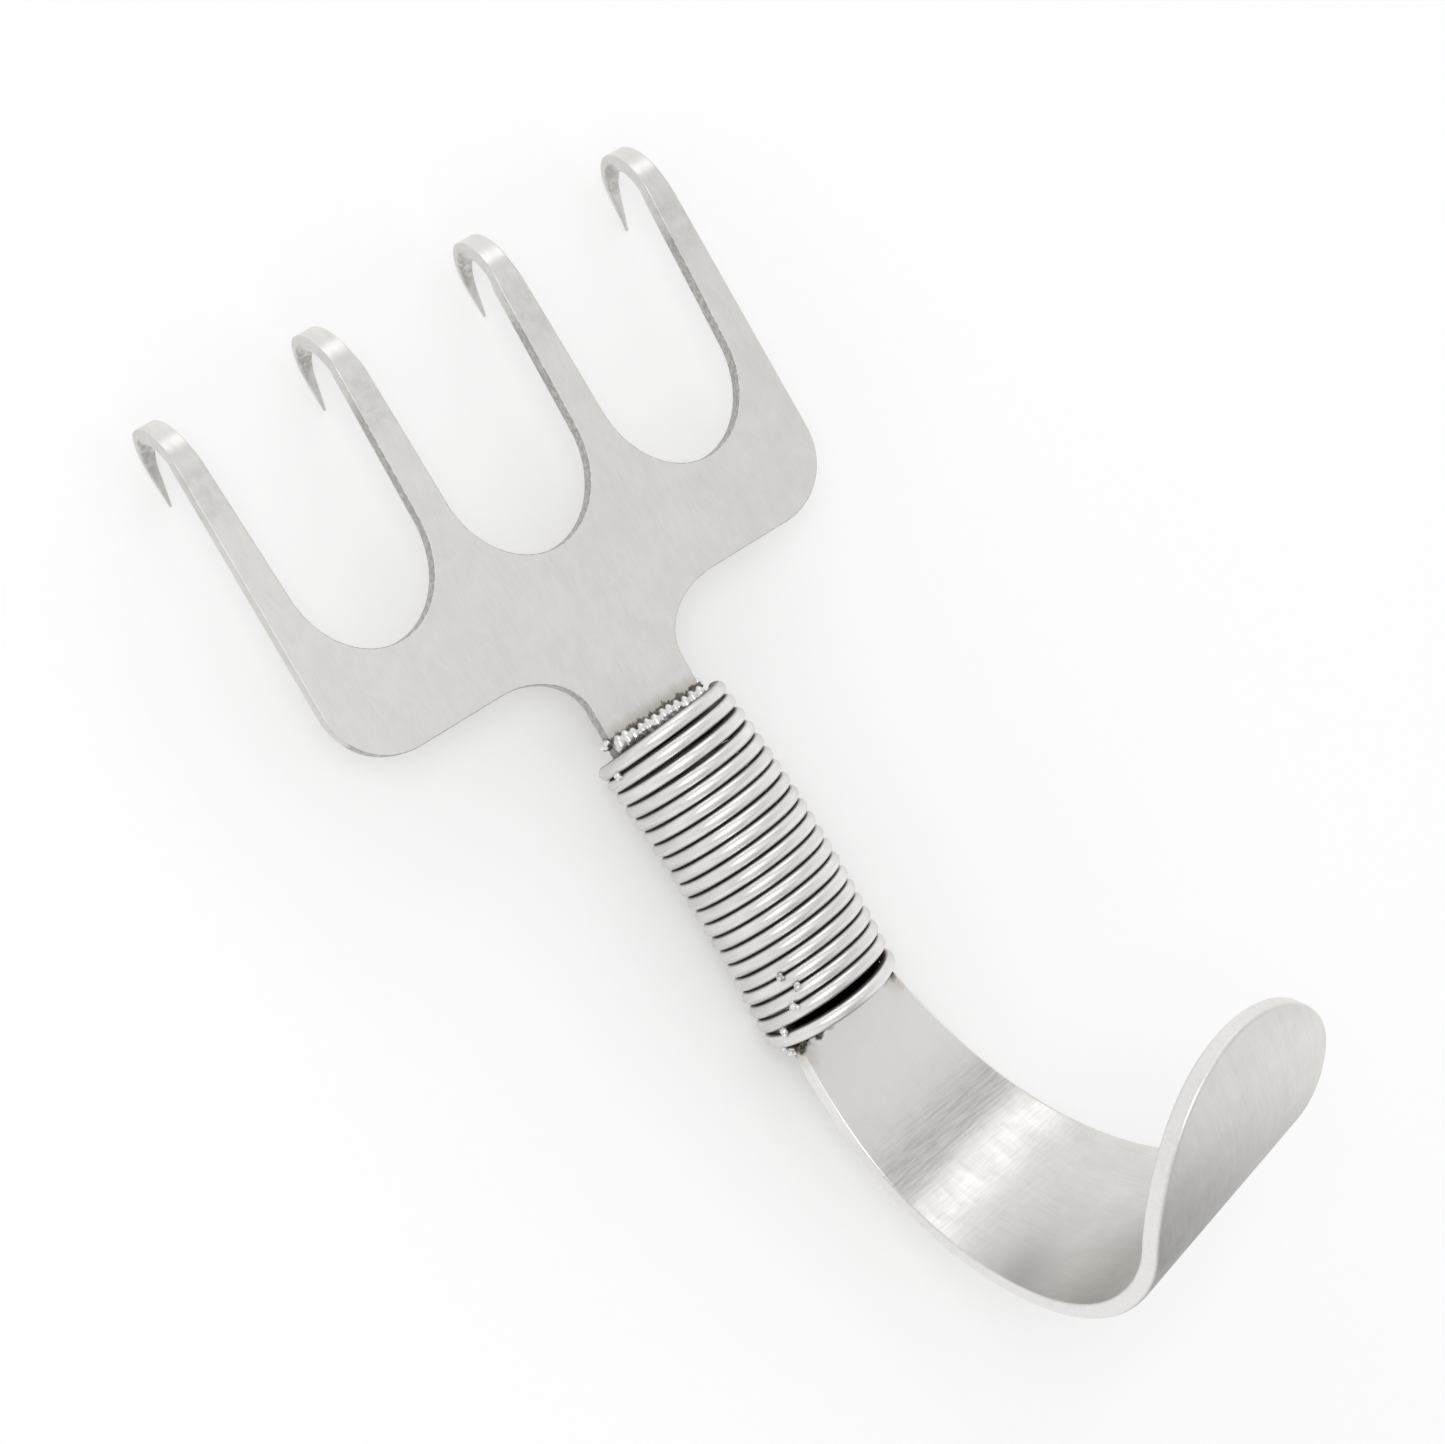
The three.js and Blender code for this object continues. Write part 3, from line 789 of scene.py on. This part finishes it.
def wire_at(turns):
    """The wire's centre after so many turns, counted from the +Y side over the top."""
    radius = WIRE / 2
    angle = 2 * math.pi * turns
    straight = FIRST_CROSSING_X + (turns - 0.25) * PITCH
    forward = FRONT_LEAN[0] * (1 - smoothstep(turns, 0.25, 0.25 + FRONT_LEAN[1]))
    leaving = smoothstep(turns, REAR_LEAN[1], REAR_LEAN[1] + 1)
    sway = lerp(*COIL_SWAY, math.sin(math.pi * straight / COIL_LENGTH))
    lean = REAR_LEAN[0] * leaving - forward
    return np.array(
        [
            straight + REAR_OPENING * leaving + lean * math.sin(angle),
            (COIL_HALF_WIDTH - radius) * math.cos(angle) + sway,
            (COIL_HALF_HEIGHT - radius) * math.sin(angle),
        ]
    )


def wire_frame(turns):
    """Unit vectors at a point of the wire: along it, out from the coil's axis, and across both."""
    along = wire_at(turns + 1e-4) - wire_at(turns - 1e-4)
    along /= np.linalg.norm(along)
    angle = 2 * math.pi * turns
    out = np.array([0, math.cos(angle) / COIL_HALF_WIDTH, math.sin(angle) / COIL_HALF_HEIGHT])
    out -= along * (out @ along)
    out /= np.linalg.norm(out)
    return along, out, np.cross(along, out)


TURN_LENGTH = math.pi * (COIL_HALF_WIDTH + COIL_HALF_HEIGHT - WIRE)


def wire_ring(shape, turns, radius, shift=0.0):
    along, out, across = wire_frame(turns)
    centre = wire_at(turns) + along * shift
    made = []
    for side in range(WIRE_SIDES):
        turn = 2 * math.pi * side / WIRE_SIDES
        normal = out * math.cos(turn) + across * math.sin(turn)
        # Painted shade on the wire, carried in the cut attribute: the grooves between turns, the coil's two
        # flanks and its inner side.
        groove = smoothstep(abs(math.sin(turn)), 0.9, 1.0)
        flank = FLANK_SHADE * smoothstep(abs(math.cos(2 * math.pi * turns)), 0.7, 0.98)
        shade_share = max(groove, flank, smoothstep(-math.cos(turn), -0.1, 0.3))
        spot = (turns * TURN_LENGTH, WIRE / 2 * turn, 7.0 * math.floor(turns))
        made.append(shape.add(centre + normal * radius, normal, spot, shade_share))
    return made


def end_cap(shape, turns, side):
    """A cut wire end with its edge just broken."""
    along, _, _ = wire_frame(turns)
    rim = wire_ring(shape, turns, WIRE / 2 - 0.1, side * 0.06)
    flat = [shape.add(shape.points[i], side * along, shape.coords[i], 0.5) for i in rim]
    return rim, flat


def build_coil_run(name, start, end, bodies, reach):
    shape = Shape()
    steps = round((end - start) * WIRE_STEPS)
    rings = [wire_ring(shape, lerp(start, end, i / steps), WIRE / 2) for i in range(steps + 1)]
    for first, second in zip(rings, rings[1:]):
        shape.strip(first, second, closed=True)
    if start == RUN_ENDS[0]:
        rim, flat = end_cap(shape, start, -1)
        shape.strip(rim, rings[0], closed=True)
        shape.faces.append(tuple(flat[::-1]))
    if end == RUN_ENDS[-1]:
        rim, flat = end_cap(shape, end, 1)
        shape.strip(rings[-1], rim, closed=True)
        shape.faces.append(tuple(flat))
    run = shape.build(name, wire_steel)
    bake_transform(run)
    return run


COIL_RUNS = [
    ("coil_front_wire", "coil_front_turns", ("rake", "neck_front"), (1.8, 8.9)),
    ("coil_middle_wire", "coil_middle_turns", ("neck_front", "neck_rear"), (10.4, 18.2)),
    ("coil_rear_wire", "coil_rear_turns", ("neck_rear", "tail"), (19.7, 26.9)),
]
for run_index, (run_name, run_node, run_bodies, run_reach) in enumerate(COIL_RUNS):
    span = RUN_ENDS[run_index : run_index + 2]
    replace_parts(build_coil_run(run_name, *span, run_bodies, run_reach), run_node)


# Weld metal -----------------------------------------------------------------------------------------------

VOXEL = 0.06
BEAD_X = -0.04
BEAD_REACH = (-4.1, 4.3)
BEAD_DROPLETS = 12


def build_lumps(name, balls, place, bodies, reach=None):
    """Fuses overlapping balls, (centre, radii), into one lumpy skin, darkest where two of them meet."""
    shape = bmesh.new()
    for centre, radii in balls:
        matrix = Matrix.Translation(centre) @ Matrix.Diagonal((*radii, 1))
        bmesh.ops.create_icosphere(shape, subdivisions=4, radius=1.0, matrix=matrix)
    mesh = bpy.data.meshes.new(name + "_balls")
    shape.to_mesh(mesh)
    shape.free()
    piece = bpy.data.objects.new(name, mesh)
    scene.collection.objects.link(piece)
    remesh = piece.modifiers.new("fuse", "REMESH")
    remesh.mode = "VOXEL"
    remesh.voxel_size = VOXEL
    relax = piece.modifiers.new("relax", "SMOOTH")
    relax.iterations = 3
    evaluated = piece.evaluated_get(bpy.context.evaluated_depsgraph_get())
    fused = bpy.data.meshes.new_from_object(evaluated)
    piece.modifiers.clear()
    piece.data = fused
    points = np.array([v.co for v in fused.vertices], float)
    gaps = []
    for centre, radii in balls:
        share = np.linalg.norm((points - np.array(centre)) / np.array(radii), axis=1)
        gaps.append((share - 1) * min(radii))
    gaps = np.sort(np.array(gaps), axis=0)
    second = gaps[1] if len(balls) > 1 else np.full(len(points), 1.0)
    crease = np.clip(1 - (second + 0.01) / 0.07, 0, 1)
    wobble = np.array([noise.noise(Vector(p) * 3.1) for p in points])
    normals = np.array([v.normal for v in fused.vertices])
    points = points + normals * (wobble * 0.035)[:, None]
    fused.vertices.foreach_set("co", to_row(place(points)).astype(np.float32).ravel())
    at = fused.attributes.new("at", "FLOAT_VECTOR", "POINT")
    at.data.foreach_set("vector", points.astype(np.float32).ravel())
    cut = fused.attributes.new("cut", "FLOAT", "POINT")
    cut.data.foreach_set("value", crease.astype(np.float32))
    fused.polygons.foreach_set("use_smooth", [True] * len(fused.polygons))
    fused.update()
    fused.materials.append(weld_steel)
    if reach is None:
        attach(piece, bodies)
    else:
        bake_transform(piece)
    return piece


def in_neck(points):
    return np.asarray(points, float)


def bead_balls(side):
    """A row of droplets across the neck that reach under the first turn, larger towards its -Y edge."""
    chance = random.Random(11 if side > 0 else 12)
    balls = []
    for step in range(BEAD_DROPLETS):
        y = lerp(*BEAD_REACH, step / (BEAD_DROPLETS - 1)) + chance.uniform(-0.06, 0.06)
        size = chance.uniform(0.46, 0.54) + (0.1 if step < 2 else 0.0)
        x = BEAD_X + chance.uniform(-0.07, 0.07)
        balls.append(((x, y, side * (SHEET / 2 + 0.22)), (size * 1.7, size * 0.9, size * 1.05)))
    return balls


for bead_name, bead_node, bead_side in [
    ("neck_bead_upper", "neck_weld_upper", 1),
    ("neck_bead_lower", "neck_weld_lower", -1),
]:
    bead = build_lumps(bead_name, bead_balls(bead_side), rake_points, "rake")
    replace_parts(bead, bead_node)

# Each fillet is a knot of lumps round its middle: name, node, middle, radii, spread and seed.
FILLETS = [
    ("neck_fillet_near", "neck_weld_near", (-0.6, -4.75, 0.0), (0.62, 0.36, 0.85), rake_points, "rake", 3),
    ("neck_fillet_far", "neck_weld_far", (-0.9, 4.8, 0.1), (0.5, 0.32, 0.8), rake_points, "rake", 4),
    ("hook_fillet_near", "hook_weld_near", (29.15, -5.85, 0.35), (0.55, 0.5, 0.85), in_neck, "tail", 5),
    ("hook_fillet_far", "hook_weld_far", (28.5, 5.75, -0.15), (0.36, 0.4, 0.55), in_neck, "tail", 6),
]
for fillet_name, fillet_node, middle, radii, place, body, seed in FILLETS:
    chance = random.Random(seed)
    lumps = [(middle, tuple(r * 0.8 for r in radii))]
    for _ in range(6):
        offset = [chance.uniform(-0.55, 0.55) * r for r in radii]
        size = chance.uniform(0.3, 0.45) * sum(radii) / 2
        lumps.append((tuple(m + o for m, o in zip(middle, offset)), (size, size, size)))
    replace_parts(build_lumps(fillet_name, lumps, place, body), fillet_node)

TACK_RADIUS = 0.3
TACKS = [(0, 162), (16, 133), (17, 125), (18, 136), (19, 156)]  # whole turns ahead, degrees round the coil
for tack_index, (tack_after, tack_angle) in enumerate(TACKS):
    place_in_turn = tack_after + tack_angle / 360
    groove = (wire_at(place_in_turn)[0] + wire_at(place_in_turn + 1)[0]) / 2
    around = math.radians(tack_angle)
    middle = (
        groove,
        (COIL_HALF_WIDTH + 0.1) * math.cos(around),
        (COIL_HALF_HEIGHT + 0.1) * math.sin(around),
    )
    chance = random.Random(20 + tack_index)
    drops = [(middle, (TACK_RADIUS * 1.1,) * 3)]
    for _ in range(3):
        offset = [chance.uniform(-0.24, 0.24) for _ in range(3)]
        drops.append((tuple(m + o for m, o in zip(middle, offset)), (TACK_RADIUS * 0.75,) * 3))
    tack_name = f"tack_drop_{tack_index + 1}"
    if tack_index == 0:
        tack = build_lumps(tack_name, drops, in_neck, "rake")
    else:
        tack = build_lumps(tack_name, drops, in_neck, ("neck_rear", "tail"), COIL_RUNS[2][3])
    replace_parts(tack, f"tack_weld_{tack_index + 1}")


# Camera and studio ----------------------------------------------------------------------------------------

CAMERA_AT = (-38.903, -114.859, 311.472)
CAMERA_RIGHT = (0.524522, 0.768811, 0.365795)
CAMERA_FORWARD = (0.125008, 0.355441, -0.926302)
CAMERA_LENS = 99.65

camera_data = bpy.data.cameras.new("camera")
camera_data.lens = CAMERA_LENS
camera_data.sensor_width = 36.0
camera_data.clip_start = 0.01
camera_data.clip_end = 20.0
camera = bpy.data.objects.new("camera", camera_data)
scene.collection.objects.link(camera)
right = Vector(np.array(CAMERA_RIGHT) @ AXES).normalized()
back = -Vector(np.array(CAMERA_FORWARD) @ AXES).normalized()
up = back.cross(right).normalized()
camera_turn = Matrix((right, up, back)).transposed().to_4x4()
camera.matrix_world = Matrix.Translation(Vector(to_row(CAMERA_AT))) @ camera_turn
scene.camera = camera

FLOOR_REACH = 1.2
FLOOR_GLOW = 0.14
TENT_LEVELS = [(0.0, 0.9), (0.45, 0.9), (0.66, 0.72), (0.8, 0.7), (0.9, 0.88), (1.0, 0.9)]


def build_floor():
    low = cad_box[0][2]
    mesh = bpy.data.meshes.new("floor")
    corners = [(-1, -1), (1, -1), (1, 1), (-1, 1)]
    mesh.from_pydata([(x * FLOOR_REACH, y * FLOOR_REACH, low) for x, y in corners], [], [(0, 1, 2, 3)])
    floor = bpy.data.objects.new("floor", mesh)
    scene.collection.objects.link(floor)
    paint = bpy.data.materials.new("floor_white")
    paint.use_nodes = True
    shader = paint.node_tree.nodes["Principled BSDF"]
    shader.inputs["Base Color"].default_value = (0.9, 0.9, 0.9, 1)
    shader.inputs["Roughness"].default_value = 0.9
    shader.inputs["Specular IOR Level"].default_value = 0.1
    shader.inputs["Emission Color"].default_value = (1, 1, 1, 1)
    shader.inputs["Emission Strength"].default_value = FLOOR_GLOW
    mesh.materials.append(paint)


def build_world():
    """A white tent: bright all round, a little dimmer halfway up."""
    world = bpy.data.worlds.new("studio")
    scene.world = world
    world.use_nodes = True
    tree = world.node_tree
    where = tree.nodes.new("ShaderNodeTexCoord")
    parts = tree.nodes.new("ShaderNodeSeparateXYZ")
    ramp = tree.nodes.new("ShaderNodeValToRGB")
    tree.links.new(where.outputs["Generated"], parts.inputs[0])
    tree.links.new(parts.outputs["Z"], ramp.inputs["Fac"])
    elements = ramp.color_ramp.elements
    while len(elements) < len(TENT_LEVELS):
        elements.new(0.5)
    for element, (height, level) in zip(elements, TENT_LEVELS):
        element.position = height
        element.color = (level, level, level, 1)
    tree.links.new(ramp.outputs["Color"], tree.nodes["Background"].inputs["Color"])


def area_light(name, place, aim, size, power):
    data = bpy.data.lights.new(name, "AREA")
    data.shape = "DISK"
    data.size = size
    data.energy = power
    light = bpy.data.objects.new(name, data)
    light.location = place
    light.rotation_euler = (Vector(aim) - Vector(place)).to_track_quat("-Z", "Y").to_euler()
    scene.collection.objects.link(light)


build_floor()
build_world()
# Soft boxes: name, place and aim in metres, size and power.
SOFT_BOXES = [
    ("side_box", (-0.42, 0.175, 0.25), (0.03, 0, 0.015), 0.22, 0.12),
    ("top_box", (-0.12, -0.2, 0.7), (0, 0, 0.01), 0.3, 0.7),
]
for soft_box in SOFT_BOXES:
    area_light(*soft_box)

scene.view_settings.view_transform = "Standard"
scene.view_settings.look = "None"
